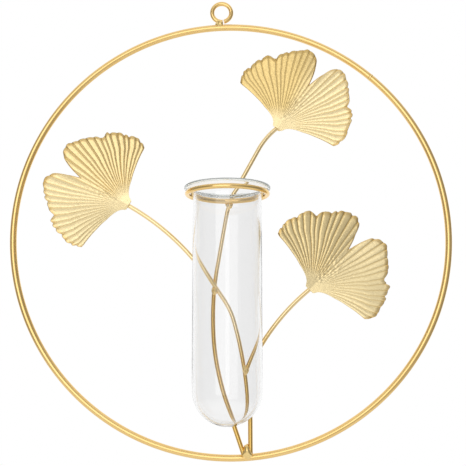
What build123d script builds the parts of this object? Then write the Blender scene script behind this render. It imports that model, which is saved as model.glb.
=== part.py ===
from build123d import *
from math import atan2, cos, degrees, radians, sin, sqrt, tan
import os

# Hanging wall vase: a gold wire hoop with a hanging eye, three wire stems with
# pleated ginkgo leaves, and a glass test tube hung in a wire ring.
# Millimetres, +Z up, -Y to the viewer. The origin is the centre of the hanging eye.

# Hoop
hoop_diameter = 300.0  # outside
hoop_wire = 4.5
hoop_seam_angle = 48.8  # degrees up from +X
hoop_seam_width = 1.4
hoop_seam_proud = 0.15

# Hanging eye
eye_diameter = 16.4  # outside
eye_wire = 3.0
eye_angle = 92.4  # degrees up from +X, round the hoop
eye_gap = 0.6  # hoop to eye, bridged by the bead
eye_bead_angle = 93.3  # degrees up from +X, round the hoop
eye_split_angle = -80.0  # where the two wire ends stand apart
eye_split = 0.9

# Stems
stem_wire = 3.0
weld_root = 0.1  # daylight between two wires before the bead fills it

# Glass tube
tube_diameter = 44.5
tube_length = 152.6
glass_wall = 1.5
flange_width = 5.75  # how far the lip stands out past the tube
flare_radius = 8.0
lip_thickness = 2.2

# Holder ring
holder_clearance = 2.05  # tube to the inside of the ring
holder_wire = 3.2
holder_share = (-0.0156, 0.1470)  # its centre from the hoop's, of the hoop's wire radius
seat_gap = 0.3  # glass to wire
hoop_gap = 1.0  # from the passing flange to the hoop
stem_gap = 0.4  # from the passing flange to the stem behind it

# Leaves
leaf_radius = 62.0
leaf_sheet = 0.6
leaf_half_angle = 71.0  # degrees from the leaf's middle line to its side corner
pleats_per_lobe = 15
pleat_height = 1.5  # ridge to valley at the full radius
leaf_gap = 0.3  # stem to the back of the leaf
stem_lap = 2.5  # how far a stem runs up behind the leaf's neck
solder_relief = 0.1  # solder to the pleats at the neck

# Places of the stems' bends, as shares of the hoop's wire radius: (sideways, up).
# The first is the foot or cut end, and the last the end behind the leaf.
stem_up_shares = [(0.0588, -0.990), (-0.1249, -0.4576), (-0.0062, 0.1531), (0.158, 0.4552), (0.2241, 0.5122)]
stem_left_shares = [(0.086, -0.990), (0.0851, -0.6439), (0.0006, -0.3494), (-0.2567, 0.0082), (-0.48, 0.1339)]
stem_right_shares = [(0.0738, -0.620), (0.168, -0.416), (0.3627, -0.2484)]
stem_up_bend_shares = [1.170, 0.437, 0.350]
stem_left_bend_shares = [1.435, 0.349, 1.112]
stem_right_bend_shares = [1.00]

# Places of the beads, as shares of the hoop's wire radius, and their radii, as shares of the wire
foot_share = (0.0705, -0.974)
crossing_share = (-0.0790, -0.2570)
branch_share = (0.0721, -0.6126)
holder_weld_side_share = -0.006
eye_bead_share = 0.92
foot_bead_share = 1.13
crossing_bead_share = 0.90
branch_bead_share = 0.85
holder_bead_share = 0.65
solder_share = 0.87
foot_bead_depth_share = 0.83  # of the depth of the stems' feet
bead_back_share = 0.33  # a bead between crossed wires, behind the front wire's middle
holder_bead_drop_share = 0.45  # below the ring

# Leaf outline, as (share of the half angle, share of the leaf radius)
rim_shares = [
    (0.000, 0.640), (0.042, 0.800), (0.084, 0.930), (0.125, 0.980), (0.208, 1.000), (0.290, 0.962),
    (0.370, 0.920), (0.458, 0.890), (0.521, 0.825), (0.583, 0.885), (0.667, 0.848), (0.760, 0.815),
    (0.850, 0.785), (0.930, 0.755), (1.000, 0.700),
]
side_shares = [(0.660, 0.095), (0.750, 0.170), (0.833, 0.300), (0.917, 0.450), (0.960, 0.555), (1.000, 0.650)]
base_share = 0.035  # the straight cut across the neck
ripple_share = 0.005  # how far the ridges stand out past the valleys at the rim

# Each leaf in degrees: direction of its middle line, lean of its tip to the viewer, roll and fold of each half
leaf_top_turns = (53.4, 4.2, -7.4, 4.0)
leaf_left_turns = (150.1, 0.5, 4.3, 5.0)
leaf_right_turns = (45.4, -2.5, 0.4, 5.0)

hoop_radius = (hoop_diameter - hoop_wire) / 2
eye_radius = (eye_diameter - eye_wire) / 2
eye_reach = hoop_diameter / 2 + eye_gap + eye_diameter / 2
hoop_centre = Vector(-eye_reach * cos(radians(eye_angle)), 0, -eye_reach * sin(radians(eye_angle)))
tube_radius = tube_diameter / 2
flange_radius = tube_radius + flange_width
holder_radius = tube_radius + holder_clearance + holder_wire / 2
holder_reach = holder_radius + holder_wire / 2
holder_side = hoop_radius * holder_share[0]
holder_height = hoop_radius * holder_share[1]
tube_depth = -(flange_radius + hoop_wire / 2 + hoop_gap)

# Depths: the stems' feet lap the front of the hoop, and the first stem leans back past flange and ring
foot_depth = -(hoop_wire + stem_wire) / 2 - weld_root
behind_flange_depth = tube_depth + max(flange_radius, holder_reach) + stem_gap + stem_wire / 2
foot_height = hoop_radius * stem_up_shares[0][1]
stem_up_lean = (behind_flange_depth - foot_depth) / (holder_height - foot_height)
crossing_rise = hoop_radius * crossing_share[1] - foot_height
crossing_depth = foot_depth + stem_up_lean * crossing_rise - stem_wire - weld_root
stem_left_lean = (crossing_depth - foot_depth) / crossing_rise
branch_rise = hoop_radius * branch_share[1] - foot_height
branch_depth = foot_depth + stem_left_lean * branch_rise - stem_wire - weld_root

# The glass rests on the ring where the flare's underside comes within the seat gap of the wire
flare_centre_radius = tube_radius + flare_radius
seat_reach = flare_radius - holder_wire / 2 - seat_gap
flare_start = holder_height - sqrt(seat_reach**2 - (flare_centre_radius - holder_radius) ** 2)
flare_middle_radius = flare_radius + glass_wall / 2
lip_radius = flange_radius - lip_thickness / 2
lip_height = flare_start + sqrt(flare_middle_radius**2 - (flare_centre_radius - lip_radius) ** 2)
flare_turn = degrees(atan2(lip_height - flare_start, flare_centre_radius - lip_radius))
tube_foot = lip_height + lip_thickness / 2 - tube_length


def from_hoop_centre(side, up, depth=0.0):
    """A point given from the hoop's centre: sideways, up and away from the viewer."""
    return hoop_centre + Vector(side, depth, up)


def wire_ring(radius, wire, split_angle=0.0, split=0.0):
    """A wire ring about the Y axis, open by the split at the given angle up from +X."""
    section = Pos(radius, 0) * Circle(wire / 2)
    if split == 0:
        return revolve(section, axis=Axis.Y)
    open_angle = degrees(split / radius)
    arc = revolve(section, axis=Axis.Y, revolution_arc=360 - open_angle)
    return Rot(0, open_angle / 2 - split_angle, 0) * arc


def make_hoop():
    """One wire bent round, with a gap between its ends for the seam weld."""
    return Pos(hoop_centre) * wire_ring(hoop_radius, hoop_wire, hoop_seam_angle, hoop_seam_width)


def make_hoop_seam_weld():
    """A short collar of weld between the hoop's two ends, a little proud."""
    half_angle = degrees(hoop_seam_width / hoop_radius) / 2
    section = Pos(hoop_radius, 0) * Circle(hoop_wire / 2 + hoop_seam_proud)
    collar = revolve(section, axis=Axis.Y, revolution_arc=2 * half_angle)
    return Pos(hoop_centre) * Rot(0, -half_angle - hoop_seam_angle, 0) * collar


def make_hanging_eye():
    """A small wire ring at the origin, its two ends closed up to each other."""
    return wire_ring(eye_radius, eye_wire, eye_split_angle, eye_split)


def make_holder_ring():
    """The level wire ring that the glass hangs in."""
    level_ring = Rot(90, 0, 0) * wire_ring(holder_radius, holder_wire)
    return Pos(from_hoop_centre(holder_side, holder_height, tube_depth)) * level_ring


def make_glass_tube():
    """Round-bottomed tube of one wall, flared to a thick melted lip."""
    bowl_height = tube_foot + tube_radius
    bore_radius = tube_radius - glass_wall
    outer_bowl = CenterArc((0, bowl_height), tube_radius, -90, 90)
    outer_flare = CenterArc((flare_centre_radius, flare_start), flare_radius, 180, -flare_turn)
    inner_flare = CenterArc((flare_centre_radius, flare_start), flare_radius + glass_wall, 180, -flare_turn)
    inner_bowl = CenterArc((0, bowl_height), bore_radius, -90, 90)
    wall = make_face(
        [
            outer_bowl,
            Line(outer_bowl @ 1, outer_flare @ 0),
            outer_flare,
            Line(outer_flare @ 1, inner_flare @ 1),
            inner_flare,
            Line(inner_flare @ 0, inner_bowl @ 1),
            inner_bowl,
            Line(inner_bowl @ 0, outer_bowl @ 0),
        ]
    )
    lip = Pos(lip_radius, lip_height) * Circle(lip_thickness / 2)
    glass = revolve(Plane.XZ * (wall + lip), axis=Axis.Z)
    return Pos(from_hoop_centre(holder_side, 0, tube_depth)) * glass


def stem_path(shares, bend_shares, start_depth, lean):
    """Straight runs and tangent arcs in an upright plane that leans back by so much per height."""
    points = [(side * hoop_radius, up * hoop_radius) for side, up in shares]
    radii = [bend * hoop_radius for bend in bend_shares]
    depth_at_centre = start_depth - lean * points[0][1]
    plane = Plane(from_hoop_centre(0, 0, depth_at_centre), x_dir=(1, 0, 0), z_dir=(0, -1, lean))
    return plane * FilletPolyline(*points, radius=radii)


def make_stem(path):
    """Round wire along a stem's path."""
    return sweep((path ^ 0) * Circle(stem_wire / 2), path=path)


def share_at(shares, place):
    """The value at a place in a table of (place, share), straight between its points."""
    for (low, low_share), (high, high_share) in zip(shares, shares[1:]):
        if place <= high:
            return low_share + (high_share - low_share) * (place - low) / (high - low)
    return shares[-1][1]


def leaf_ray(step, fold):
    """Inner and outer end of one pleat line, on a straight ray from the neck."""
    place = abs(step) / (2 * pleats_per_lobe)
    angle = radians(leaf_half_angle * step / (2 * pleats_per_lobe))
    ridge = 1 if step % 2 else -1
    rim = leaf_radius * (share_at(rim_shares, place) + ripple_share * ridge)
    if place < side_shares[0][0]:
        inner = leaf_radius * base_share / cos(angle)
    else:
        inner = leaf_radius * share_at(side_shares, place)
    slope = ridge * pleat_height / 2 / leaf_radius + tan(radians(fold)) * abs(sin(angle))
    ray = Vector(cos(angle), sin(angle), slope)
    return ray * inner, ray * rim


def polygon(*corners):
    return Face(Wire.make_polygon(corners, close=True))


def make_leaf_fan(fold):
    """One stamped leaf along +X, its front to +Z. Each flat pleat face lies between two rays from the neck."""
    steps = range(-2 * pleats_per_lobe, 2 * pleats_per_lobe + 1)
    through = Vector(0, 0, -leaf_sheet)
    front = [leaf_ray(step, fold) for step in steps]
    back = [(inner + through, rim + through) for inner, rim in front]
    faces = []
    for (inner, rim), (next_inner, next_rim) in zip(front, front[1:]):
        faces.append(polygon(inner, rim, next_rim, next_inner))
    for (inner, rim), (next_inner, next_rim) in zip(back, back[1:]):
        faces.append(polygon(inner, next_inner, next_rim, rim))
    for i in range(len(front) - 1):
        for end in (0, 1):
            faces.append(polygon(front[i][end], back[i][end], back[i + 1][end], front[i + 1][end]))
    for i in (0, -1):
        faces.append(polygon(front[i][0], front[i][1], back[i][1], back[i][0]))
    return Solid(Shell(faces))


def leaf_place(stem_end, direction, lean, roll):
    """Where a leaf's neck goes: in front of its stem's end, and turned about that end."""
    along = Vector(cos(radians(direction)), 0, sin(radians(direction)))
    in_front = stem_end + Vector(0, -stem_wire / 2 - leaf_gap - leaf_sheet, 0)
    turned = Plane(in_front, x_dir=along, z_dir=(0, -1, 0)).location * Rot(0, -lean, 0) * Rot(roll, 0, 0)
    return turned * Pos(-stem_lap - leaf_radius * base_share, 0, 0)


def make_solder(place, stem):
    """Solder round the stem's end, cut flat behind the leaf."""
    radius = solder_share * stem_wire
    leaf_back = -leaf_sheet - solder_relief
    stem_middle = -leaf_sheet - leaf_gap - stem_wire / 2
    ball = Pos(leaf_radius * base_share + stem_lap, 0, stem_middle) * Sphere(radius)
    in_front = Pos(0, 0, leaf_back + radius) * Box(leaf_radius, leaf_radius, 2 * radius)
    return place * (ball - in_front) - stem


def make_bead(side, up, depth, radius, *wires):
    """A bead of weld between wires, cut to fit round them."""
    bead = Pos(from_hoop_centre(side, up, depth)) * Sphere(radius)
    for wire in wires:
        bead -= wire
    return bead


hoop = make_hoop()
hanging_eye = make_hanging_eye()
holder_ring = make_holder_ring()
nodes = {
    "hoop": hoop,
    "hoop_seam_weld": make_hoop_seam_weld(),
    "hanging_eye": hanging_eye,
    "holder_ring": holder_ring,
    "glass_tube": make_glass_tube(),
}

# Stems, each with its leaf
stem_up_path = stem_path(stem_up_shares, stem_up_bend_shares, foot_depth, stem_up_lean)
stem_left_path = stem_path(stem_left_shares, stem_left_bend_shares, foot_depth, stem_left_lean)
stem_right_path = stem_path(stem_right_shares, stem_right_bend_shares, branch_depth, 0)
branches = [
    ("stem_up", stem_up_path, "leaf_top", leaf_top_turns),
    ("stem_left", stem_left_path, "leaf_left", leaf_left_turns),
    ("stem_right", stem_right_path, "leaf_right", leaf_right_turns),
]
for stem_name, path, leaf_name, (direction, lean, roll, fold) in branches:
    place = leaf_place(path @ 1, direction, lean, roll)
    stem = make_stem(path)
    nodes[stem_name] = stem
    nodes[leaf_name] = place * make_leaf_fan(fold)
    nodes[leaf_name + "_solder"] = make_solder(place, stem)

# Welds
stem_up, stem_left, stem_right = nodes["stem_up"], nodes["stem_left"], nodes["stem_right"]
eye_bead_reach = (hoop_diameter + eye_gap) / 2
nodes["eye_weld"] = make_bead(
    eye_bead_reach * cos(radians(eye_bead_angle)),
    eye_bead_reach * sin(radians(eye_bead_angle)),
    0,
    eye_bead_share * eye_wire,
    hoop,
    hanging_eye,
)
nodes["foot_weld"] = make_bead(
    foot_share[0] * hoop_radius,
    foot_share[1] * hoop_radius,
    foot_bead_depth_share * foot_depth,
    foot_bead_share * stem_wire,
    hoop,
    stem_up,
    stem_left,
)
nodes["crossing_weld"] = make_bead(
    crossing_share[0] * hoop_radius,
    crossing_share[1] * hoop_radius,
    crossing_depth + bead_back_share * stem_wire,
    crossing_bead_share * stem_wire,
    stem_up,
    stem_left,
)
nodes["branch_weld"] = make_bead(
    branch_share[0] * hoop_radius,
    branch_share[1] * hoop_radius,
    branch_depth + bead_back_share * stem_wire,
    branch_bead_share * stem_wire,
    stem_left,
    stem_right,
)
ring_back_depth = tube_depth + holder_reach
stem_front_depth = behind_flange_depth - stem_wire / 2
nodes["holder_weld"] = make_bead(
    holder_weld_side_share * hoop_radius,
    holder_height - holder_bead_drop_share * stem_wire,
    (ring_back_depth + stem_front_depth) / 2,
    (stem_front_depth - ring_back_depth) / 2 + holder_bead_share * stem_wire,
    holder_ring,
    stem_up,
)

os.makedirs("parts", exist_ok=True)
for name, solid in nodes.items():
    export_step(solid, f"parts/{name}.step")
    print(name, solid.is_valid, round(solid.volume, 2), len(solid.faces()))
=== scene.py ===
from math import pi, radians

import bpy
import numpy as np
from mathutils import Euler, Matrix, Vector


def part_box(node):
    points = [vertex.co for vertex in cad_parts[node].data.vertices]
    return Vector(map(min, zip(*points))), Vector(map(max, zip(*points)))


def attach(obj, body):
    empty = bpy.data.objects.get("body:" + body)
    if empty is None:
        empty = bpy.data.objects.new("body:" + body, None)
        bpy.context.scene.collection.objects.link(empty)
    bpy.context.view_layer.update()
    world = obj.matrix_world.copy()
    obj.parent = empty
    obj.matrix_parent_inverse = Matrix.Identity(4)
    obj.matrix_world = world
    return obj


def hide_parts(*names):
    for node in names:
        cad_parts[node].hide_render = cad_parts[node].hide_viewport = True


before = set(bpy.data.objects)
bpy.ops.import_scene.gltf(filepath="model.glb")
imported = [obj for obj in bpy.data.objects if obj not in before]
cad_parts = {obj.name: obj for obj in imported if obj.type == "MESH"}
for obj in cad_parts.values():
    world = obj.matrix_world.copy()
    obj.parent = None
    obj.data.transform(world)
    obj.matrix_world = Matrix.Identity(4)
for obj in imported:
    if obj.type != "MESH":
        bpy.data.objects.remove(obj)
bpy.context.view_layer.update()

# Hanging wall vase: gold plated wire hoop and stems, pleated ginkgo leaves and a clear glass test
# tube. Metres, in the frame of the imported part: the origin is the centre of the hanging eye, +Z is
# up and -Y points to the viewer.

MM = 0.001
ACROSS, AWAY, UP = np.eye(3)

# Glass tube
TUBE_DIAMETER = 44.5 * MM
GLASS_WALL = 1.5 * MM
FLARE_RADIUS = 8.0 * MM
LIP_THICKNESS = 2.2 * MM
LIP_SWELL_LENGTH = 4.0 * MM  # over which the wall thickens to the melted lip
BOTTOM_EXTRA = 0.25 * MM  # glass that has run down into the round bottom
BOTTOM_START = -0.3  # angle in the round bottom at which that begins
WALL_WAVER = 0.06 * MM  # unevenness of the bore
BORE_TWISTS = ((2, 60.0, 0.0), (3, -95.0, 1.0))  # waves round it, radians per metre down, start
# The lip's glow is painted: its faces are partly opaque and pale green-grey
LIP_BAND_STEPS = 1  # rows of faces on both sides of the round lip that glow as it does
TUBE_SIDES = 192
BOWL_STEPS, SIDE_STEPS, FLARE_STEPS, LIP_STEPS = 40, 62, 28, 14

# Wires, as drawn and bent
HOOP_DIAMETER = 300.0 * MM
HOOP_WIRE = 4.5 * MM
HOOP_RADIUS = (HOOP_DIAMETER - HOOP_WIRE) / 2  # to the middle of the wire
EYE_DIAMETER = 16.4 * MM
EYE_SPLIT_ANGLE = radians(-80.0)
EYE_SPLIT = 0.9 * MM  # gap between the ends of the eye's wire
STEM_WIRE = 3.0 * MM
STEM_GAP = 0.4 * MM  # between the first stem and the flange of the glass
HOLDER_WIRE = 3.2 * MM
WELD_ROOT = 0.1 * MM  # gap between two wires that a bead joins
END_ROUNDING = 0.2 * MM  # the snipped ends are a little rounded
END_STEPS = (0.12, 0.35, 0.65, 1.0)  # shares of that rounding at which a path has points
END_FULLNESS = 0.98  # of a whole quarter circle, so that the end keeps a small step
PATH_STEP = 1.0 * MM
RING_STEPS = 48  # points that a ring has at least
WIRE_SIDES = 32

# All from the hoop's centre, as shares of its radius: heights of the foot, the crossing and the
# branch, each stem's corners (sideways, up), and the bend radius at each corner between its ends
FOOT_SHARE = -0.990
CROSSING_SHARE = -0.2570
BRANCH_SHARE = -0.6126
STEM_CORNERS = {
    "stem_up": [
        (0.0588, FOOT_SHARE), (-0.1249, -0.4576), (-0.0062, 0.1531),
        (0.158, 0.4552), (0.2241, 0.5122),
    ],
    "stem_left": [
        (0.086, FOOT_SHARE), (0.0851, -0.6439), (0.0006, -0.3494),
        (-0.2567, 0.0082), (-0.48, 0.1339),
    ],
    "stem_right": [(0.0738, -0.620), (0.168, -0.416), (0.3627, -0.2484)],
}
STEM_BENDS = {
    "stem_up": [1.170, 0.437, 0.350],
    "stem_left": [1.435, 0.349, 1.112],
    "stem_right": [1.00],
}
# Heights between which each stem goes from pale to deeper gold towards the foot, as painted shade
STEM_PAINTED_SHADE_SHARES = {
    "stem_up": (-0.08, -0.26),
    "stem_left": (-0.42, -0.66),
    "stem_right": (-0.36, -0.62),
}

# Collar of weld that closes the hoop
SEAM_ANGLE = radians(48.8)
SEAM_WIDTH = 1.4 * MM
SEAM_PROUD = 0.15 * MM
SEAM_PINCH = 0.4  # how far its ends dip into the wire, of that height
SEAM_LUMPS = ((0.05, 3, 4, 0), (0.04, 7, -3, 1))  # height, waves round, turn along and start
SEAM_ROWS, SEAM_SIDES = 17, 48

# Weld and solder beads: stretch of the CAD bead's box, shift in millimetres, height of the lumps,
# and how much the bead widens downwards, where the weld ran out
BEADS = {
    "eye_weld": ((0.92, 1.15, 1.5), (0.35, -0.8, -0.3), 0.10, 0.15),
    "foot_weld": ((1.02, 1.15, 1.40), (0, -0.7, 0.7), 0.09, 0.38),
    "crossing_weld": ((0.90, 0.95, 1.05), (0.2, -1.5, -0.7), 0.10, 0),
    "branch_weld": ((0.90, 1.0, 1.15), (0.1, -1.4, -0.1), 0.10, -0.2),
    "holder_weld": ((1.1, 1.0, 1.35), (0, 0, -0.8), 0.08, -0.3),
    "leaf_top_solder": ((1.0, 0.95, 1.0), (0, 0, 0), 0.10, 0),
    "leaf_left_solder": ((1.0, 0.95, 1.0), (0, 0, 0), 0.10, 0),
    "leaf_right_solder": ((1.0, 0.95, 1.0), (0, 0, 0), 0.10, 0),
}
FIRST_BEAD_SEED = 11
LUMP_RATES = np.array([1.5, 1.5, 2.5, 2.5, 4, 4, 6])  # how quickly each wave of lumps turns
LUMP_DIVISORS = np.array([1, 1, 1.6, 1.6, 2.6, 2.6, 4])  # the quicker waves are lower
BEAD_ROWS, BEAD_SIDES = 40, 64

# Leaves
LEAF_RADIUS = 62.0 * MM
LEAF_SHEET = 0.6 * MM
LEAF_HALF_ANGLE = radians(71.0)
LEAF_GAP = 0.3 * MM  # stem to the back of the leaf
STEM_LAP = 2.5 * MM  # from the edge of the neck to the middle of the solder
SOLDER_RADIUS = 0.87 * STEM_WIRE
BASE_SHARE = 0.035  # where that edge is, of the leaf radius
STEPS_PER_RIB = 12
LEAF_ROWS = 110

# Leaf outline: rim, and side edges from the flat tab at the neck to the rim's corner, both as
# (share of the half angle, share of the leaf radius)
RIM_SHARES = [
    (0.000, 0.640), (0.042, 0.800), (0.084, 0.930), (0.125, 0.980), (0.208, 1.000),
    (0.290, 0.962), (0.370, 0.920), (0.458, 0.890), (0.521, 0.825), (0.583, 0.885),
    (0.667, 0.848), (0.760, 0.815), (0.850, 0.785), (0.930, 0.755), (1.000, 0.690),
]
SIDE_SHARES = [
    (0.800, 0.035), (0.800, 0.069), (0.700, 0.090), (0.645, 0.114), (0.670, 0.157), (0.720, 0.199),
    (0.780, 0.250), (0.833, 0.300), (0.917, 0.450), (0.960, 0.555), (1.000, 0.660),
]
RIM_SOFTNESS, SIDE_SOFTNESS = 0.012, 0.015  # widths over which their corners come out round
RIM_RIPPLE_SHARE = 0.006  # how far the rim waves in and out, of the leaf radius
RIM_BULGE, RIM_WAVE = 0.4, 0.9  # of that: where a rib ends, and the slow wave
RIM_WAVE_RIBS = 2.6  # length of the slow wave
NOTCH_CHANCE = 0.34  # share of the pressed lines that end in a nick in the rim
NOTCH_DEPTH, LINE_END_DEPTH = 2.8, 0.7  # of the ripple: a nick, and the dip where there is none
NOTCH_WIDTH = 0.22  # half width of both, in ribs
RIM_CURL = 0.40 * MM  # the rim turns back a little where the die let go
RIM_CURL_LENGTH = 2.5 * MM

# Pleats
PLEATS_PER_LOBE = 15
RIBS = 2 * PLEATS_PER_LOBE
PLEAT_HEIGHT = 1.2 * MM  # ridge to valley at the full radius
RIB_SHARE = 0.36  # of that height, the part that is the rib's soft crown
GROOVE_SHARE = 0.085  # half width of the pressed line between two ribs, of their spacing
PLEAT_TILT = 0.30  # how much one flank of a rib may outdo the other
RIB_WIDTH_SPREAD = 0.28  # how much the ribs differ in width
RIB_HEIGHT_SPREAD = 0.3  # and in height
FLAT_NECK = 7.0 * MM  # the pleats start here
FULL_PLEAT = 20.0 * MM  # and are full grown here
PLEAT_BASE_SHARE = 0.25  # of their height, what doesn't grow with the radius

# Unevenness of the thin sheet
FOLD_ROUNDING = 0.05  # how softly the two halves meet
WARP_HEIGHT = 0.5 * MM
WARP_ACROSS, WARP_OUT = 5.0, 2.3  # turn of the slow warp per radian across, half waves outwards
WRINKLE_HEIGHT = 0.07 * MM  # small creases where the lobes part
WRINKLE_LENGTHS = (1.6 * MM, 4.0 * MM)  # their shortest and longest wave
WRINKLE_WAVES = 12
WRINKLE_SPREAD = 0.22  # angle from the middle line in which they lie
WRINKLE_RISE, WRINKLE_FADE = (0.10, 0.20), (0.62, 0.35)  # where they begin and end, of the radius

# How deep the pleats of the two halves of each leaf stand, after it was bent by hand
HALF_DEPTHS = {"leaf_top": (0.95, 0.60), "leaf_left": (1.35, 0.90), "leaf_right": (0.90, 1.15)}
DEPTH_BLEND = (-0.2, 0.2)  # angles between which one half goes over into the other

# Painted shade of the two halves, for a lobe that faces the dim room: 0 is pale, 1 the deepest
HALF_PAINTED_SHADE = {"leaf_top": (0.05, 0.9), "leaf_left": (0.5, 0.05), "leaf_right": (0.05, 0.35)}
PAINTED_SHADE_BLEND = (-0.2, 0.3)

# Each leaf in degrees: direction of its middle line, lean of its tip to the viewer, roll, and fold
# of each half
LEAF_TURNS = {
    "leaf_top": (53.4, 4.2, -7.4, 4.0),
    "leaf_left": (150.1, 0.5, 4.3, 5.0),
    "leaf_right": (45.4, -2.5, 0.4, 5.0),
}

# Patterns of the finishes, by the size of one patch, line or ripple. The lines of the drawing die
# and the grain of the sheet are finer on the real metal, and are drawn coarse enough to show.
PLATING_PATCH = 16.67 * MM
DIE_LINE = 0.4 * MM
DIE_LINE_STRETCH = 0.03  # a line is about 30 times as long as it is wide
SHEET_PATCH = 9.09 * MM
SHEET_GRAIN = 1.111 * MM
SHEET_STREAKS_PER_RIB = 3.0
VEIN_STEPS = 12  # units of the streaks from neck to rim, where a rib is one unit wide
WARM_RIM = 4.0 * MM  # deeper gold along the rim
BEAD_RIPPLE = 2.0 * MM
GLASS_WAVE = 16.67 * MM  # round the tube, and ten times that along it, as it was drawn
LIP_PATCH = 6.67 * MM

# Camera, from the hoop's centre
CAMERA_PLACE = Vector((1.358, -592.61, -92.76)) * MM
CAMERA_RISE = radians(9.0)
CAMERA_LENS = 68.23
CAMERA_SENSOR = 36.0

# Soft box at the front left, from the hoop's centre
KEY_RADIANCE = 0.98
KEY_SIZE = 1.25
KEY_OFFSET = Vector((-0.40, -1.45, 0.14))

# Room that metal and glass mirror, where 1 is white: its levels, and the two values of a direction
# between which one level goes over into the next (x to the right, y away, z up)
LEFT_LEVEL, RIGHT_LEVEL, SIDE_BLEND = 0.34, 0.28, (-0.4, 0.4)
LOW_LEFT_LEVEL, LOW_RIGHT_LEVEL, LOW_BLEND = 0.85, 0.62, (-0.5, 0.5)
FRONT_LEVEL, FRONT_BLEND = 0.52, (-0.92, -0.55)
BACK_LEVEL, BACK_BLEND = 1.0, (0.25, 0.70)
TOP_LEVEL, TOP_BLEND = 0.90, (0.45, 0.85)
RAISED_BLEND = (-0.60, -0.20)
DIFFUSE_LEVEL = 0.85  # what the room adds to dull surfaces
GLASS_LIFT = 0.85  # how much of the dim room turns white when seen straight through the glass

# Floor
FLOOR_DROP = 0.45  # from the hoop's foot
FLOOR_RADIUS = 0.8
FLOOR_LIFT = 0.14  # extra white that only the camera sees
FLOOR_SIDES = 96


# Small helpers for nodes and materials
def srgb(code):
    """An sRGB hex value as a linear colour with alpha 1."""
    parts = [int(code[i : i + 2], 16) / 255 for i in (1, 3, 5)]
    linear = [c / 12.92 if c <= 0.04045 else ((c + 0.055) / 1.055) ** 2.4 for c in parts]
    return (*linear, 1.0)


def set_inputs(tree, node, **inputs):
    """Set or link inputs by name, with _ for a space. Where a name isn't unique, _6 is input 6."""
    for key, value in inputs.items():
        number = key[1:]
        socket = node.inputs[int(number) if number.isdigit() else key.replace("_", " ")]
        if isinstance(value, bpy.types.NodeSocket):
            tree.links.new(value, socket)
        else:
            socket.default_value = value


def add_node(tree, kind, settings=None, **inputs):
    """A shader node with its settings, and its inputs set or linked."""
    node = tree.nodes.new(kind)
    for key, value in (settings or {}).items():
        setattr(node, key, value)
    set_inputs(tree, node, **inputs)
    return node


def new_material(name):
    """An empty material with a Principled shader in it."""
    material = bpy.data.materials.new(name)
    material.use_nodes = True
    tree = material.node_tree
    tree.nodes.clear()
    shader = add_node(tree, "ShaderNodeBsdfPrincipled")
    add_node(tree, "ShaderNodeOutputMaterial", Surface=shader.outputs["BSDF"])
    return material, tree, shader


# Finishes. Colour mixes take their two colours at inputs 6 and 7 and give the result at output 2.
def make_gold_wire(name, deep, pale):
    """Iron wire drawn through a die, then plated gold and lacquered.

    It looks satin, with faint lines along the wire and a slow change of tint.
    """
    material, tree, shader = new_material(name)
    place = add_node(tree, "ShaderNodeTexCoord").outputs["Object"]
    drawn = add_node(tree, "ShaderNodeAttribute", {"attribute_name": "drawn"}).outputs["Vector"]
    painted_shade = add_node(tree, "ShaderNodeAttribute", {"attribute_name": "painted_shade"}).outputs["Fac"]
    cloud = add_node(
        tree, "ShaderNodeTexNoise", Vector=place, Scale=1 / PLATING_PATCH, Detail=3.0
    ).outputs["Fac"]
    lines = add_node(
        tree, "ShaderNodeTexNoise", Vector=drawn, Scale=1 / DIE_LINE, Detail=2.0
    ).outputs["Fac"]
    tint = add_node(
        tree, "ShaderNodeMix", {"data_type": "RGBA"}, Factor=cloud, _6=srgb(deep), _7=srgb(pale)
    ).outputs[2]
    # Painted shade: the colour is multiplied towards a deeper gold where the painted_shade attribute
    # is high
    painted_shade_colour = add_node(
        tree, "ShaderNodeMix", {"data_type": "RGBA", "blend_type": "MULTIPLY"},
        Factor=painted_shade, _6=tint, _7=srgb("#ECDAA6"),
    ).outputs[2]
    rough = add_node(tree, "ShaderNodeMapRange", Value=lines, To_Min=0.15, To_Max=0.24)
    bump = add_node(tree, "ShaderNodeBump", Height=lines, Strength=0.06, Distance=0.02 * MM)
    set_inputs(
        tree, shader, Base_Color=painted_shade_colour, Metallic=1.0,
        Roughness=rough.outputs["Result"], Normal=bump.outputs["Normal"],
    )
    return material


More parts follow.
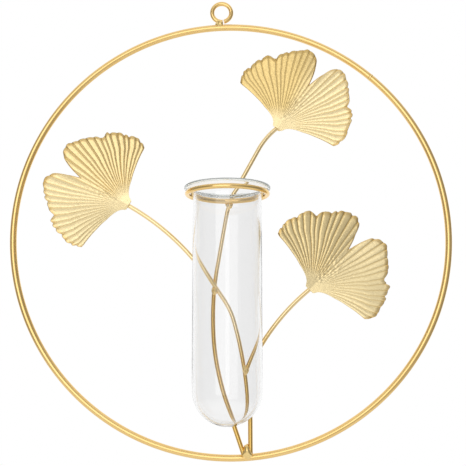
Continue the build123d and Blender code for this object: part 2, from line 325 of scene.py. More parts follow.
def make_gold_sheet():
    """Thin brass sheet, stamped and plated pale gold.

    Painted highlight makes its rib crowns pale and painted shade its pressed lines a deeper gold,
    as it does one lobe or the other; the rim is deeper gold.
    """
    material, tree, shader = new_material("gold_plated_stamped_sheet")
    place = add_node(tree, "ShaderNodeTexCoord").outputs["Object"]
    pleat = add_node(tree, "ShaderNodeAttribute", {"attribute_name": "pleat"}).outputs["Fac"]
    rim = add_node(tree, "ShaderNodeAttribute", {"attribute_name": "rim"}).outputs["Fac"]
    vein = add_node(tree, "ShaderNodeAttribute", {"attribute_name": "vein"}).outputs["Vector"]
    painted_shade = add_node(tree, "ShaderNodeAttribute", {"attribute_name": "painted_shade"}).outputs["Fac"]
    streak = add_node(
        tree, "ShaderNodeTexNoise", Vector=vein, Scale=SHEET_STREAKS_PER_RIB, Detail=3.0
    ).outputs["Fac"]
    cloud = add_node(
        tree, "ShaderNodeTexNoise", Vector=place, Scale=1 / SHEET_PATCH, Detail=4.0
    ).outputs["Fac"]
    grain = add_node(
        tree, "ShaderNodeTexNoise", Vector=place, Scale=1 / SHEET_GRAIN, Detail=5.0
    ).outputs["Fac"]
    # Painted shade and highlight from the pleat's height: a darker, deeper gold in the pressed
    # lines, paler on the rib crowns
    fold = add_node(
        tree, "ShaderNodeMapRange",
        Value=pleat, From_Min=-0.45, From_Max=0.05, To_Min=0.0, To_Max=1.0,
    ).outputs["Result"]
    tint = add_node(
        tree, "ShaderNodeMix", {"data_type": "RGBA"},
        Factor=fold, _6=srgb("#E6C888"), _7=srgb("#FCE8B6"),
    ).outputs[2]
    # Painted shade: one lobe or the other is multiplied towards a deeper gold
    painted_shade_colour = add_node(
        tree, "ShaderNodeMix", {"data_type": "RGBA", "blend_type": "MULTIPLY"},
        Factor=painted_shade, _6=tint, _7=srgb("#EBDFBE"),
    ).outputs[2]
    patchy = add_node(
        tree, "ShaderNodeMapRange",
        Value=cloud, From_Min=0.35, From_Max=0.7, To_Min=0.25, To_Max=1.0,
    ).outputs["Result"]
    warm = add_node(tree, "ShaderNodeMath", {"operation": "MULTIPLY"}, _0=rim, _1=patchy).outputs[0]
    warmed = add_node(
        tree, "ShaderNodeMix", {"data_type": "RGBA"}, Factor=warm, _6=painted_shade_colour, _7=srgb("#E0B562")
    ).outputs[2]
    rough = add_node(
        tree, "ShaderNodeMapRange",
        Value=streak, From_Min=0.3, From_Max=0.7, To_Min=0.26, To_Max=0.42,
    ).outputs["Result"]
    veined = add_node(tree, "ShaderNodeBump", Height=streak, Strength=0.5, Distance=0.12 * MM)
    bump = add_node(
        tree, "ShaderNodeBump",
        Height=grain, Strength=0.12, Distance=0.08 * MM, Normal=veined.outputs["Normal"],
    ).outputs["Normal"]
    set_inputs(tree, shader, Base_Color=warmed, Metallic=1.0, Roughness=rough, Normal=bump)
    return material


def make_gold_weld():
    """Weld and solder beads that ran and froze, under the same plating.

    Small ripples break up the highlight.
    """
    material, tree, shader = new_material("gold_plated_weld")
    place = add_node(tree, "ShaderNodeTexCoord").outputs["Object"]
    lump = add_node(
        tree, "ShaderNodeTexNoise", Vector=place, Scale=1 / BEAD_RIPPLE, Detail=3.0
    ).outputs["Fac"]
    tint = add_node(
        tree, "ShaderNodeMix", {"data_type": "RGBA"},
        Factor=lump, _6=srgb("#F6CC7C"), _7=srgb("#FFE9AC"),
    ).outputs[2]
    rough = add_node(tree, "ShaderNodeMapRange", Value=lump, To_Min=0.16, To_Max=0.30)
    bump = add_node(tree, "ShaderNodeBump", Height=lump, Strength=0.3, Distance=0.12 * MM)
    set_inputs(
        tree, shader, Base_Color=tint, Metallic=1.0,
        Roughness=rough.outputs["Result"], Normal=bump.outputs["Normal"],
    )
    return material


def make_clear_glass():
    """Borosilicate laboratory glass, blown and fire polished.

    It is clear, with a slight grey cast at its edges and long soft waves from drawing the tube.
    """
    material, tree, shader = new_material("borosilicate_glass_blown")
    place = add_node(tree, "ShaderNodeTexCoord").outputs["Object"]
    stretch = (1 / GLASS_WAVE, 1 / GLASS_WAVE, 0.1 / GLASS_WAVE)
    drawn = add_node(tree, "ShaderNodeMapping", Vector=place, Scale=stretch).outputs["Vector"]
    waver = add_node(
        tree, "ShaderNodeTexNoise", Vector=drawn, Scale=1.0, Detail=2.0
    ).outputs["Fac"]
    film = add_node(tree, "ShaderNodeMapRange", Value=waver, To_Min=0.0, To_Max=0.01)
    bump = add_node(tree, "ShaderNodeBump", Height=waver, Strength=0.05, Distance=0.4 * MM)
    set_inputs(
        tree, shader, Base_Color=srgb("#FAFAFA"), Transmission_Weight=1.0, IOR=1.474,
        Roughness=film.outputs["Result"], Normal=bump.outputs["Normal"],
    )
    return material


def make_glass_lip_painted_glow():
    """The lip of the same glass, where it was melted back.

    Part of it is made opaque and pale green-grey: a painted glow for the light caught inside
    the thick lip, over the green tint that thick glass really has.
    """
    material, tree, shader = new_material("borosilicate_glass_lip_painted_glow")
    place = add_node(tree, "ShaderNodeTexCoord").outputs["Object"]
    waver = add_node(
        tree, "ShaderNodeTexNoise", Vector=place, Scale=1 / LIP_PATCH, Detail=2.0
    ).outputs["Fac"]
    tint = add_node(
        tree, "ShaderNodeMix", {"data_type": "RGBA"},
        Factor=waver, _6=srgb("#E8F2EC"), _7=srgb("#FCFDFC"),
    ).outputs[2]
    rough = add_node(tree, "ShaderNodeMapRange", Value=waver, To_Min=0.01, To_Max=0.04)
    set_inputs(
        tree, shader, Base_Color=tint, Transmission_Weight=0.6, IOR=1.474,
        Roughness=rough.outputs["Result"],
    )
    return material


# Small helpers for meshes
def add_object(name, data):
    """A new object in the scene."""
    thing = bpy.data.objects.new(name, data)
    bpy.context.scene.collection.objects.link(thing)
    return thing


def add_piece(name, points, faces, material, body, node):
    """A smooth piece from its points and faces, riding on a body in place of a CAD node."""
    mesh = bpy.data.meshes.new(name)
    mesh.from_pydata(points.tolist(), [], faces)
    mesh.shade_smooth()
    mesh.materials.append(material)
    piece = add_object(name, mesh)
    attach(piece, body)
    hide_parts(node)
    return piece


def set_attribute(piece, name, values):
    """A number or a vector for each point of a piece, which its material reads by this name."""
    kind, key = ("FLOAT", "value") if values.ndim == 1 else ("FLOAT_VECTOR", "vector")
    attribute = piece.data.attributes.new(name, kind, "POINT")
    attribute.data.foreach_set(key, values.ravel().astype(np.float32))


def grid_faces(rows, columns, wrap=False):
    """Quads of a grid of points: corner, next column, next column of the next row, next row."""
    row = np.arange(rows - 1)[:, None] * columns
    column = np.arange(columns if wrap else columns - 1)[None, :]
    right = (column + 1) % columns
    below = row + columns
    quads = np.stack([row + column, row + right, below + right, below + column], axis=-1)
    return quads.reshape(-1, 4)


def capped_faces(rows, sides, flip=False):
    """Faces of a tube of points, closed by a fan at each end, to two tips that come after them."""
    around = np.arange(sides)
    onward = (around + 1) % sides
    last_row = (rows - 1) * sides
    first_tip = np.full(sides, rows * sides)
    first_fan = np.stack([first_tip, onward, around], axis=-1)
    last_fan = np.stack([last_row + around, last_row + onward, first_tip + 1], axis=-1)
    way = -1 if flip else 1
    quads = grid_faces(rows, sides, wrap=True)
    return quads[:, ::way].tolist() + np.vstack([first_fan, last_fan])[:, ::way].tolist()


def sheet_faces(rows, columns):
    """Faces of a thin closed sheet: a grid, the same grid turned over behind it, walls between."""
    front = grid_faces(rows, columns)
    count = rows * columns
    index = np.arange(count).reshape(rows, columns)
    edge = np.concatenate([index[:, 0], index[-1, 1:], index[-2::-1, -1], index[0, -2:0:-1]])
    onward = np.roll(edge, -1)
    walls = np.stack([edge, onward, onward + count, edge + count], axis=-1)
    return np.vstack([front, front[:, ::-1] + count, walls]).tolist()


def lathe(radius, height, sides, centre):
    """Points and faces of a profile turned about a vertical axis: centre + radius (cos a, sin a).

    The profile's first and last points lie on the axis.
    """
    turn = np.arange(sides) * 2 * pi / sides
    ring_radius = radius[1:-1, None]
    ring_height = np.broadcast_to(height[1:-1, None], (len(radius) - 2, sides))
    rings = np.stack(
        [centre.x + ring_radius * np.cos(turn), centre.y + ring_radius * np.sin(turn), ring_height],
        axis=-1,
    ).reshape(-1, 3)
    tips = [(centre.x, centre.y, height[0]), (centre.x, centre.y, height[-1])]
    return np.vstack([rings, tips]), capped_faces(len(radius) - 2, sides)


def smooth_step(low, high, value):
    """0 before low, 1 past high, and between them 3 s squared - 2 s cubed of the share s."""
    share = np.clip((value - low) / (high - low), 0, 1)
    return share * share * (3 - 2 * share)


def bell(value, width):
    """1 at zero, and e to the power of -(value / width) squared on both sides of it."""
    return np.exp(-((value / width) ** 2))


def soft_table(value, at, given, width):
    """A table read by straight interpolation, averaged over a width, which rounds its corners."""
    shifts = np.linspace(-width, width, 7)
    return np.mean([np.interp(value + shift, at, given) for shift in shifts], axis=0)


# Glass
def make_glass_tube(material, painted_glow_material):
    """A wall carried along the tube's middle line: round bottom, straight side and flare.

    Point = line + direction outwards x half the wall, which swells at the lip and at the bottom. A
    half circle closes the lip. The bore wavers by the product of two twisted sine waves.
    """
    low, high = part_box("glass_tube")
    centre = (low + high) / 2
    middle_radius = (TUBE_DIAMETER - GLASS_WALL) / 2
    flare_middle = FLARE_RADIUS + GLASS_WALL / 2
    flare_centre = TUBE_DIAMETER / 2 + FLARE_RADIUS
    lip_radius = (high.x - low.x) / 2 - LIP_THICKNESS / 2
    lip_height = high.z - LIP_THICKNESS / 2
    flare_turn = np.arccos((flare_centre - lip_radius) / flare_middle)
    flare_start = lip_height - flare_middle * np.sin(flare_turn)
    bowl_height = low.z + TUBE_DIAMETER / 2

    # Middle line of the wall as (radius, height), and the direction outwards at each point
    bowl = np.linspace(-pi / 2, 0, BOWL_STEPS)
    side = np.linspace(bowl_height, flare_start, SIDE_STEPS)[1:-1]
    flare = np.linspace(pi, pi - flare_turn, FLARE_STEPS)
    radius = np.concatenate([
        middle_radius * np.cos(bowl),
        np.full(side.size, middle_radius),
        flare_centre + flare_middle * np.cos(flare),
    ])
    height = np.concatenate([
        bowl_height + middle_radius * np.sin(bowl),
        side,
        flare_start + flare_middle * np.sin(flare),
    ])
    line = np.stack([radius, height], axis=-1)
    out = np.stack([
        np.concatenate([np.cos(bowl), np.ones(side.size), -np.cos(flare)]),
        np.concatenate([np.sin(bowl), np.zeros(side.size), -np.sin(flare)]),
    ], axis=-1)

    # Outer face, round lip and inner face
    length = np.concatenate([[0], np.cumsum(np.hypot(*np.diff(line, axis=0).T))])
    swell = smooth_step(length[-1] - LIP_SWELL_LENGTH, length[-1], length)
    half = GLASS_WALL / 2 + swell * (LIP_THICKNESS - GLASS_WALL) / 2
    bowl_turn = np.concatenate([bowl, np.zeros(len(line) - bowl.size)])
    bottom = BOTTOM_EXTRA * smooth_step(BOTTOM_START, -pi / 2, bowl_turn)
    outer = line + out * half[:, None]
    inner = line - out * (half + bottom)[:, None]
    lip_turn = np.linspace(0, pi, LIP_STEPS)[1:-1, None]
    along = np.array([-out[-1, 1], out[-1, 0]])
    lip = line[-1] + LIP_THICKNESS / 2 * (np.cos(lip_turn) * out[-1] + np.sin(lip_turn) * along)
    profile = np.vstack([outer, lip, inner[::-1]])
    profile[0, 0] = profile[-1, 0] = 0
    points, faces = lathe(profile[:, 0], profile[:, 1], TUBE_SIDES, centre)

    turn = np.arctan2(points[:, 1] - centre.y, points[:, 0] - centre.x)
    drop = high.z - points[:, 2]
    bore = np.zeros(len(points))
    bore[TUBE_SIDES * (len(outer) + len(lip) - 1):-2] = 1
    waver = WALL_WAVER * bore
    for count, rate, start in BORE_TWISTS:
        waver = waver * np.sin(count * turn + rate * drop + start)
    points[:, 0] += waver * np.cos(turn)
    points[:, 1] += waver * np.sin(turn)
    piece = add_piece("glass_tube_blown", points, faces, material, "vase", "glass_tube")

    # The lip and a band of faces on both sides of it get the lip's material, with its painted glow
    piece.data.materials.append(painted_glow_material)
    band = np.zeros(len(faces), dtype=np.int32)
    band_start = TUBE_SIDES * (len(outer) - LIP_BAND_STEPS)
    band_end = TUBE_SIDES * (len(outer) + len(lip) + LIP_BAND_STEPS)
    band[band_start:band_end] = 1
    piece.data.polygons.foreach_set("material_index", band)


# Wires and welds
def bent_path(corners, bends):
    """Straight runs between corners, each corner rounded by a tangent arc of its bend radius.

    Arc = start + radius x (sin a x the way in + (1 - cos a) x the way inwards).
    """
    corners = np.array(corners)
    pieces = [corners[:1]]
    for before, corner, after, bend in zip(corners, corners[1:], corners[2:], bends):
        come = (corner - before) / np.linalg.norm(corner - before)
        go = (after - corner) / np.linalg.norm(after - corner)
        turned = np.arctan2(come[0] * go[1] - come[1] * go[0], come @ go)
        start = corner - come * bend * np.tan(abs(turned) / 2)
        inward = np.sign(turned) * np.array([-come[1], come[0]])
        along = np.linspace(0, abs(turned), int(bend * abs(turned) / PATH_STEP) + 2)[:, None]
        arc = start + bend * (np.sin(along) * come + (1 - np.cos(along)) * inward)
        last = pieces[-1][-1]
        run = np.linspace(0, 1, int(np.linalg.norm(start - last) / PATH_STEP) + 2)[1:-1, None]
        pieces += [last + run * (start - last), arc]
    last = pieces[-1][-1]
    run = np.linspace(0, 1, int(np.linalg.norm(corners[-1] - last) / PATH_STEP) + 2)[1:, None]
    return np.vstack(pieces + [last + run * (corners[-1] - last)])


def ring_path(centre, radius, across, up, start=0.0, end=2 * pi):
    """Points round a circle between two angles: centre + radius (cos a x across + sin a x up)."""
    whole = end - start == 2 * pi
    count = int(radius * (end - start) / PATH_STEP) + RING_STEPS
    turn = np.linspace(start, end, count, endpoint=not whole)[:, None]
    return np.array(centre) + radius * (np.cos(turn) * across + np.sin(turn) * up)


def sharpen_ends(path):
    """Extra points close to both ends, for the rounding of the snipped wire to sit on."""
    near = END_ROUNDING * np.array(END_STEPS)[:, None]
    head = path[0] + near * (path[1] - path[0]) / np.linalg.norm(path[1] - path[0])
    tail = path[-1] + near * (path[-2] - path[-1]) / np.linalg.norm(path[-2] - path[-1])
    return np.vstack([path[:1], head, path[1:-1], tail[::-1], path[-1:]])


def split_ring_path(centre, radius, angle, gap):
    """Points round an upright ring, from one end of its wire to the other, which leaves a gap."""
    half = gap / 2 / radius
    path = ring_path(centre, radius, ACROSS, UP, angle + half, angle - half + 2 * pi)
    return sharpen_ends(path)


def make_wire(node, path, normal, diameter, material, closed=False, painted_shade=None):
    """A circle carried along a path that lies in one plane, given by its normal.

    Point = path + radius x (cos a x normal + sin a x side). The radius falls off as a quarter
    circle at a snipped end. Painted shade, where given, is the two heights between which the wire
    is painted from pale to a deeper gold.
    """
    turn = np.arange(WIRE_SIDES) * 2 * pi / WIRE_SIDES
    length = np.concatenate([[0], np.cumsum(np.linalg.norm(np.diff(path, axis=0), axis=1))])
    if closed:
        tangent = np.roll(path, -1, axis=0) - np.roll(path, 1, axis=0)
        radius = np.full(len(path), diameter / 2)
    else:
        tangent = np.gradient(path, axis=0)
        to_end = np.minimum(length, length[-1] - length)
        rounded = np.clip(1 - to_end / END_ROUNDING, 0, 1)
        radius = diameter / 2 - END_ROUNDING * (1 - np.sqrt(1 - END_FULLNESS * rounded**2))
    tangent /= np.linalg.norm(tangent, axis=1)[:, None]
    normal = normal / np.linalg.norm(normal)
    side = np.cross(normal, tangent)
    ring = np.cos(turn)[None, :, None] * normal + np.sin(turn)[None, :, None] * side[:, None, :]
    points = (path[:, None, :] + radius[:, None, None] * ring).reshape(-1, 3)
    size = (len(path), WIRE_SIDES)
    drawn = np.stack([
        np.broadcast_to(diameter / 2 * np.cos(turn), size),
        np.broadcast_to(diameter / 2 * np.sin(turn), size),
        np.broadcast_to(DIE_LINE_STRETCH * length[:, None], size),
    ], axis=-1).reshape(-1, 3)
    if closed:
        faces = (grid_faces(len(path) + 1, WIRE_SIDES, wrap=True)[:, ::-1] % len(points)).tolist()
    else:
        faces = capped_faces(len(path), WIRE_SIDES, flip=True)
        points = np.vstack([points, path[:1], path[-1:]])
        drawn = np.vstack([drawn, drawn[:1], drawn[-1:]])
    piece = add_piece(node + "_wire", points, faces, material, "frame", node)
    set_attribute(piece, "drawn", drawn)
    if painted_shade is not None:
        set_attribute(piece, "painted_shade", smooth_step(*painted_shade, points[:, 2]))


def make_rings(hoop_centre, material):
    """Hoop, hanging eye and holder ring, each a wire bent to a circle."""
    hoop = split_ring_path(hoop_centre, HOOP_RADIUS, SEAM_ANGLE, SEAM_WIDTH)
    make_wire("hoop", hoop, AWAY, HOOP_WIRE, material)
    eye = split_ring_path((0, 0, 0), (EYE_DIAMETER - STEM_WIRE) / 2, EYE_SPLIT_ANGLE, EYE_SPLIT)
    make_wire("hanging_eye", eye, AWAY, STEM_WIRE, material)
    low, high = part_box("holder_ring")
    holder = ring_path((low + high) / 2, (high.x - low.x - HOLDER_WIRE) / 2, ACROSS, AWAY)
    make_wire("holder_ring", holder, UP, HOLDER_WIRE, material, closed=True)


def make_stems(hoop_centre, material):
    """The three stems, each along the line that its wire was bent to, in a plane that leans back.

    The first stem leans so that it just passes behind the flange, and the second so that it
    crosses in front of the first. The third is upright, in front of the second at the branch.
    """
    ring_low, ring_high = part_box("holder_ring")
    glass_low, glass_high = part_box("glass_tube")
    ring_middle = (ring_low + ring_high) / 2
    reach = max(glass_high.x - glass_low.x, ring_high.x - ring_low.x) / 2
    behind_flange = ring_middle.y + reach + STEM_GAP + STEM_WIRE / 2
    foot_height = HOOP_RADIUS * FOOT_SHARE
    foot_depth = -(HOOP_WIRE + STEM_WIRE) / 2 - WELD_ROOT
    up_lean = (behind_flange - foot_depth) / (ring_middle.z - hoop_centre.z - foot_height)
    crossing_rise = HOOP_RADIUS * CROSSING_SHARE - foot_height
    left_lean = up_lean - (STEM_WIRE + WELD_ROOT) / crossing_rise
    branch_rise = HOOP_RADIUS * BRANCH_SHARE - foot_height
    branch_depth = foot_depth + left_lean * branch_rise - STEM_WIRE - WELD_ROOT
    for node, depth, lean in [
        ("stem_up", foot_depth, up_lean),
        ("stem_left", foot_depth, left_lean),
        ("stem_right", branch_depth, 0),
    ]:
        corners = np.array(STEM_CORNERS[node]) * HOOP_RADIUS
        line = bent_path(corners, np.array(STEM_BENDS[node]) * HOOP_RADIUS)
        start = np.array(hoop_centre) + (depth - lean * corners[0, 1]) * AWAY
        rise = np.array([0, lean, 1]) / np.hypot(1, lean)
        path = start + line[:, :1] * ACROSS + line[:, 1:] * rise
        # Painted shade, deeper gold towards the foot, between these heights
        painted_shade = hoop_centre.z + HOOP_RADIUS * np.array(STEM_PAINTED_SHADE_SHARES[node])
        normal = np.array([0, 1, -lean])
        make_wire(node, sharpen_ends(path), normal, STEM_WIRE, material, painted_shade=painted_shade)


def make_bead(node, seed, material):
    """A ball with lumps, stretched to the bead's size.

    Radius = 1 + sum of sine waves over random directions. Its width grows downwards by the spread,
    where the weld ran down and out.
    """
    stretch, shift, lumps, spread = BEADS[node]
    low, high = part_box(node)
    centre = (low + high) / 2
    tip = np.linspace(0, pi, BEAD_ROWS)[1:-1]
    turn = np.arange(BEAD_SIDES) * 2 * pi / BEAD_SIDES
    tip, turn = np.meshgrid(tip, turn, indexing="ij")
    ball = np.stack([np.sin(tip) * np.cos(turn), np.sin(tip) * np.sin(turn), np.cos(tip)], axis=-1)
    ball = np.vstack([ball.reshape(-1, 3), UP, -UP])
    wobble = np.random.default_rng(seed)
    waves = wobble.normal(size=(len(LUMP_RATES), 3)) * LUMP_RATES[:, None]
    starts = wobble.uniform(0, 2 * pi, len(LUMP_RATES))
    swell = 1 + (np.sin(ball @ waves.T + starts) * lumps / LUMP_DIVISORS).sum(axis=1)
    half = np.array(high - low) / 2 * stretch
    run_out = np.ones_like(ball)
    run_out[:, 0] -= spread * ball[:, 2]
    points = np.array(centre) + np.array(shift) * MM + ball * run_out * swell[:, None] * half
    faces = capped_faces(BEAD_ROWS - 2, BEAD_SIDES, flip=True)
    add_piece(node + "_bead", points, faces, material, "frame", node)


def make_seam(hoop_centre, material):
    """The collar of weld where the hoop's ends meet: a short wire that swells between its ends.

    Radius = wire + height x (half an ellipse along the collar - pinch + twisted sine waves).
    """
    half = SEAM_WIDTH / 2 / HOOP_RADIUS
    turn = np.linspace(SEAM_ANGLE - half, SEAM_ANGLE + half, SEAM_ROWS)[:, None]
    around = np.arange(SEAM_SIDES) * 2 * pi / SEAM_SIDES
    place = np.linspace(-1, 1, SEAM_ROWS)[:, None]
    out = np.cos(turn) * ACROSS + np.sin(turn) * UP
    middle = np.array(hoop_centre) + HOOP_RADIUS * out
    swell = (1 + SEAM_PINCH) * np.sqrt(1 - place**2) - SEAM_PINCH
    for height, count, rate, start in SEAM_LUMPS:
        swell = swell + height * np.sin(count * around + rate * place + start)
    radius = HOOP_WIRE / 2 + SEAM_PROUD * swell
    ring = np.cos(around)[None, :, None] * AWAY + np.sin(around)[None, :, None] * out[:, None, :]
    points = (middle[:, None, :] + radius[:, :, None] * ring).reshape(-1, 3)
    points = np.vstack([points, middle[:1], middle[-1:]])
    faces = capped_faces(SEAM_ROWS, SEAM_SIDES, flip=True)
    add_piece("hoop_seam_collar", points, faces, material, "frame", "hoop_seam_weld")


# Leaves
def leaf_neck(leaf):
    """The point that a leaf's pleats run to, and its turn, from the solder ball behind its neck."""
    direction, lean, roll, _ = (radians(angle) for angle in LEAF_TURNS[leaf])
    low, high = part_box(leaf + "_solder")
    ball = Vector(((low.x + high.x) / 2, high.y - SOLDER_RADIUS, (low.z + high.z) / 2))
    along = Vector((np.cos(direction), 0, np.sin(direction)))
    front = Vector((0, -1, 0))
    facing = Matrix((along, front.cross(along), front)).transposed()
    turn = facing @ Euler((0, -lean, 0)).to_matrix() @ Euler((roll, 0, 0)).to_matrix()
    behind_neck = -LEAF_SHEET - LEAF_GAP - STEM_WIRE / 2
    ball_from_neck = Vector((LEAF_RADIUS * BASE_SHARE + STEM_LAP, 0, behind_neck))
    return ball - turn @ ball_from_neck, turn


def press_pleats(across, wobble):
    """The wave that the die pressed across a leaf: a soft crown on each rib between sharp lines.

    Wave = rib share x (parabola over the rib + its tilt to one side) - the rest x a bell curve at
    each line. The ribs differ in width. Returns the wave, the crown, the place counted in ribs, the
    rib's number and the way to the nearest line.
    """
    widths = 1 + RIB_WIDTH_SPREAD * wobble.uniform(-1, 1, RIBS)
    lines = np.concatenate([[0], np.cumsum(widths)])
    even = across * PLEATS_PER_LOBE + PLEATS_PER_LOBE
    place = np.interp(even, RIBS * lines / lines[-1], np.arange(RIBS + 1))
    number = np.clip(np.floor(place).astype(int), 0, RIBS - 1)
    along = place - number
    to_line = np.minimum(along, 1 - along)
    crown = 1 - (2 * along - 1) ** 2
    tilt = PLEAT_TILT * wobble.uniform(-1, 1, RIBS)[number] * (2 * along - 1) * crown
    wave = RIB_SHARE * (crown + tilt) - (1 - RIB_SHARE) * bell(to_line, GROOVE_SHARE)
    return wave, crown, place, number, to_line


def trim_outline(across, out, pleat_place, to_line, seed, wobble):
    """Radius and angle of each point of a leaf, and the radius of its rim in line with the point.

    Rim = table of the outline + ripple share x (bulge - nick at the pressed line + slow sine wave).
    The pleat lines bend outwards as the side edges do.
    """
    place = np.abs(across)
    rim_place, rim_share = np.array(RIM_SHARES).T
    side_place, side_share = np.array(SIDE_SHARES).T
    depths = np.where(wobble.random(RIBS + 1) < NOTCH_CHANCE, NOTCH_DEPTH, LINE_END_DEPTH)
    notch = depths[np.round(pleat_place).astype(int)] * bell(to_line, NOTCH_WIDTH)
    wave = RIM_WAVE * np.sin(2 * pi * across * PLEATS_PER_LOBE / RIM_WAVE_RIBS + seed)
    ripple = RIM_RIPPLE_SHARE * (RIM_BULGE - notch + wave)
    rim = LEAF_RADIUS * (soft_table(place, rim_place, rim_share, RIM_SOFTNESS) + ripple)
    inner = LEAF_RADIUS * BASE_SHARE / np.cos(across * side_place[0] * LEAF_HALF_ANGLE)
    radius = inner + (rim - inner) * out
    side = soft_table(radius / LEAF_RADIUS, side_share, side_place, SIDE_SOFTNESS)
    return radius, across * side * LEAF_HALF_ANGLE, rim


def wrinkle_sheet(radius, angle, wobble):
    """Height of the small creases by the middle line: a sum of sine waves in random directions."""
    share = radius / LEAF_RADIUS
    along_middle = smooth_step(*WRINKLE_RISE, share) * smooth_step(*WRINKLE_FADE, share)
    heading = wobble.uniform(0, pi, WRINKLE_WAVES)
    rates = 2 * pi / wobble.uniform(*WRINKLE_LENGTHS, WRINKLE_WAVES)
    starts = wobble.uniform(0, 2 * pi, WRINKLE_WAVES)
    on_sheet = np.stack([radius * np.cos(angle), radius * np.sin(angle)], axis=-1)
    waves = np.sin(on_sheet @ (rates * np.stack([np.cos(heading), np.sin(heading)])) + starts)
    return WRINKLE_HEIGHT / 2 * bell(angle, WRINKLE_SPREAD) * along_middle * waves.sum(axis=-1)


def between_halves(values, blend, angle):
    """One half's value, going smoothly over into the other's about the middle line."""
    one, other = values
    return one + (other - one) * smooth_step(*blend, angle)


def make_leaf(leaf, seed, material):
    """Curved pleat lines from neck to rim, spread by the side edges, as a thin closed sheet.

    Height = pleat wave + fold of each half + slow warp + wrinkles - curl at the rim. The warp is
    the share of the radius squared x a sine wave across x a cosine wave outwards.
    """
    wobble = np.random.default_rng(seed)
    across, out = np.meshgrid(
        np.linspace(-1, 1, RIBS * STEPS_PER_RIB + 1), np.linspace(0, 1, LEAF_ROWS), indexing="ij"
    )
    wave, crown, pleat_place, number, to_line = press_pleats(across, wobble)
    radius, angle, rim = trim_outline(across, out, pleat_place, to_line, seed, wobble)
    share = radius / LEAF_RADIUS
    raised = smooth_step(FLAT_NECK, FULL_PLEAT, radius)
    grown = raised * (PLEAT_BASE_SHARE + (1 - PLEAT_BASE_SHARE) * share)
    grown *= between_halves(HALF_DEPTHS[leaf], DEPTH_BLEND, angle)
    uneven = RIB_HEIGHT_SPREAD * wobble.uniform(-1, 1, RIBS + 1)[number]
    lift = PLEAT_HEIGHT / 2 * wave * (1 + uneven * crown) * grown

    from_middle = np.hypot(np.sin(angle), FOLD_ROUNDING) - FOLD_ROUNDING
    fold = np.tan(radians(LEAF_TURNS[leaf][3])) * from_middle
    warp = np.sin(WARP_ACROSS * angle + seed) * np.cos(WARP_OUT * share * pi + 2 * seed)
    curl = RIM_CURL * smooth_step(RIM_CURL_LENGTH, 0, rim - radius)
    wrinkles = wrinkle_sheet(radius, angle, wobble)
    height = lift + radius * fold + WARP_HEIGHT * share**2 * warp + wrinkles - curl

    neck, turn = leaf_neck(leaf)
    flat = np.stack([radius * np.cos(angle), radius * np.sin(angle), height], axis=-1)
    front = flat.reshape(-1, 3) @ np.array(turn.transposed()) + np.array(neck)
    back = front - np.array(turn @ Vector((0, 0, LEAF_SHEET)))
    points = np.vstack([front, back])
    faces = sheet_faces(*across.shape)
    piece = add_piece(leaf + "_pleated", points, faces, material, "frame", leaf)

    # Painted shade on one half of the leaf, none at the flat neck
    painted_shade = raised * between_halves(HALF_PAINTED_SHADE[leaf], PAINTED_SHADE_BLEND, angle)
    warm_rim = smooth_step(WARM_RIM, 0, rim - radius)
    vein = np.stack([pleat_place, VEIN_STEPS * share, np.full_like(share, seed)], axis=-1)
    # The pleat's height, which the sheet turns into painted shade in the pressed lines and painted
    # highlight on the crowns
    set_attribute(piece, "pleat", np.tile((wave * grown / grown.max()).ravel(), 2))
    set_attribute(piece, "vein", np.tile(vein.reshape(-1, 3), (2, 1)))
    set_attribute(piece, "painted_shade", np.tile(painted_shade.ravel(), 2))
    set_attribute(piece, "rim", np.tile(warm_rim.ravel(), 2))


# Floor, light and camera
def make_floor(height):
    """A pale round floor below the hanging vase, nearly white to the camera but for its shadow."""
    material, tree, shader = new_material("pale_floor")
    seen = add_node(tree, "ShaderNodeLightPath").outputs["Is Camera Ray"]
    glow = add_node(tree, "ShaderNodeMath", {"operation": "MULTIPLY"}, _0=seen, _1=FLOOR_LIFT)
    set_inputs(
        tree, shader, Base_Color=srgb("#F4F4F2"), Roughness=0.8,
        Emission_Color=(1, 1, 1, 1), Emission_Strength=glow.outputs[0],
    )
    turn = np.arange(FLOOR_SIDES) * 2 * pi / FLOOR_SIDES
    rim = np.stack([np.cos(turn), np.sin(turn), np.zeros(FLOOR_SIDES)], axis=-1)
    points = FLOOR_RADIUS * rim + height * UP
    mesh = bpy.data.meshes.new("floor")
    mesh.from_pydata(points.tolist(), [], [list(range(FLOOR_SIDES))])
    mesh.materials.append(material)
    add_object("floor", mesh)


def make_lamp(name, place, target, size, radiance):
    """A square soft box of the given brightness, turned to its target."""
    data = bpy.data.lights.new(name, "AREA")
    data.shape = "SQUARE"
    data.size = size
    data.energy = radiance * pi * size * size
    lamp = add_object(name, data)
    lamp.location = place
    lamp.rotation_euler = (target - place).to_track_quat("-Z", "Y").to_euler()


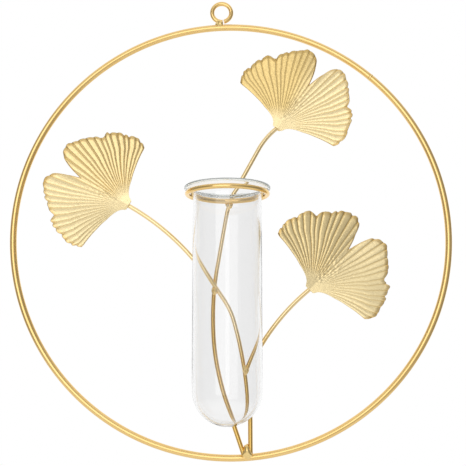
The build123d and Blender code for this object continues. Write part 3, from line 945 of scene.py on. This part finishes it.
def make_world():
    """White behind the object for camera, reflections and glass, and a dimmer room around it.

    The room's level goes smoothly from left to right, from front to back, and from below upwards.
    """
    world = bpy.data.worlds.new("studio")
    bpy.context.scene.world = world
    world.use_nodes = True
    tree = world.node_tree
    tree.nodes.clear()
    path = add_node(tree, "ShaderNodeLightPath").outputs
    direction = add_node(tree, "ShaderNodeTexCoord").outputs["Generated"]
    x, y, z = add_node(tree, "ShaderNodeSeparateXYZ", Vector=direction).outputs

    # Each level of the room goes over into another one, made before it, or into a plain number
    levels = {}
    for name, way, (start, end), one, other in [
        ("sides", x, SIDE_BLEND, LEFT_LEVEL, RIGHT_LEVEL),
        ("low", x, LOW_BLEND, LOW_LEFT_LEVEL, LOW_RIGHT_LEVEL),
        ("front", y, FRONT_BLEND, FRONT_LEVEL, "sides"),
        ("back", y, BACK_BLEND, "front", BACK_LEVEL),
        ("raised", z, TOP_BLEND, "back", TOP_LEVEL),
        ("room", z, RAISED_BLEND, "low", "raised"),
    ]:
        levels[name] = add_node(
            tree, "ShaderNodeMapRange", {"interpolation_type": "SMOOTHSTEP"}, Value=way,
            From_Min=start, From_Max=end,
            To_Min=levels.get(one, one), To_Max=levels.get(other, other),
        ).outputs["Result"]

    # Metal and glass see the room, whiter straight through the glass; the camera sees plain white
    mirror = add_node(
        tree, "ShaderNodeMath", {"operation": "MAXIMUM"},
        _0=path["Is Glossy Ray"], _1=path["Is Transmission Ray"],
    ).outputs[0]
    straight = add_node(
        tree, "ShaderNodeMath", {"operation": "LESS_THAN"}, _0=path["Glossy Depth"], _1=0.5
    ).outputs[0]
    through = add_node(
        tree, "ShaderNodeMath", {"operation": "MULTIPLY"},
        _0=path["Is Transmission Ray"], _1=straight,
    ).outputs[0]
    lift = add_node(
        tree, "ShaderNodeMath", {"operation": "MULTIPLY"}, _0=through, _1=GLASS_LIFT
    ).outputs[0]
    lifted = add_node(
        tree, "ShaderNodeMix", {"data_type": "FLOAT"}, Factor=lift, _2=levels["room"], _3=1.0
    ).outputs[0]
    seen = add_node(
        tree, "ShaderNodeMix", {"data_type": "FLOAT"}, Factor=mirror, _2=DIFFUSE_LEVEL, _3=lifted
    ).outputs[0]
    level = add_node(
        tree, "ShaderNodeMix", {"data_type": "FLOAT"},
        Factor=path["Is Camera Ray"], _2=seen, _3=1.0,
    ).outputs[0]
    light = add_node(tree, "ShaderNodeBackground", Color=(1, 1, 1, 1), Strength=level)
    add_node(tree, "ShaderNodeOutputWorld", Surface=light.outputs["Background"])


def make_camera(hoop_centre):
    """The camera of the photograph, a little below the hoop's centre and looking up."""
    data = bpy.data.cameras.new("camera")
    data.sensor_width = CAMERA_SENSOR
    data.lens = CAMERA_LENS
    camera = add_object("camera", data)
    camera.location = hoop_centre + CAMERA_PLACE
    camera.rotation_euler = (pi / 2 + CAMERA_RISE, 0, 0)
    bpy.context.scene.camera = camera


gold_wire = make_gold_wire("gold_plated_drawn_wire", "#F8CE82", "#FDDC98")
pale_gold_wire = make_gold_wire("pale_gold_plated_drawn_wire", "#FDDC9C", "#FFEBBE")
gold_sheet = make_gold_sheet()
gold_weld = make_gold_weld()

hoop_low, hoop_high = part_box("hoop")
hoop_centre = (hoop_low + hoop_high) / 2

make_glass_tube(make_clear_glass(), make_glass_lip_painted_glow())
for seed, leaf in enumerate(LEAF_TURNS, start=1):
    make_leaf(leaf, seed, gold_sheet)
make_rings(hoop_centre, gold_wire)
make_stems(hoop_centre, pale_gold_wire)
make_seam(hoop_centre, gold_weld)
for seed, node in enumerate(BEADS, start=FIRST_BEAD_SEED):
    make_bead(node, seed, gold_weld)

make_floor(hoop_low.z - FLOOR_DROP)
make_world()
make_lamp("key_softbox", hoop_centre + KEY_OFFSET, hoop_centre, KEY_SIZE, KEY_RADIANCE)
make_camera(hoop_centre)
bpy.context.scene.view_settings.view_transform = "Standard"
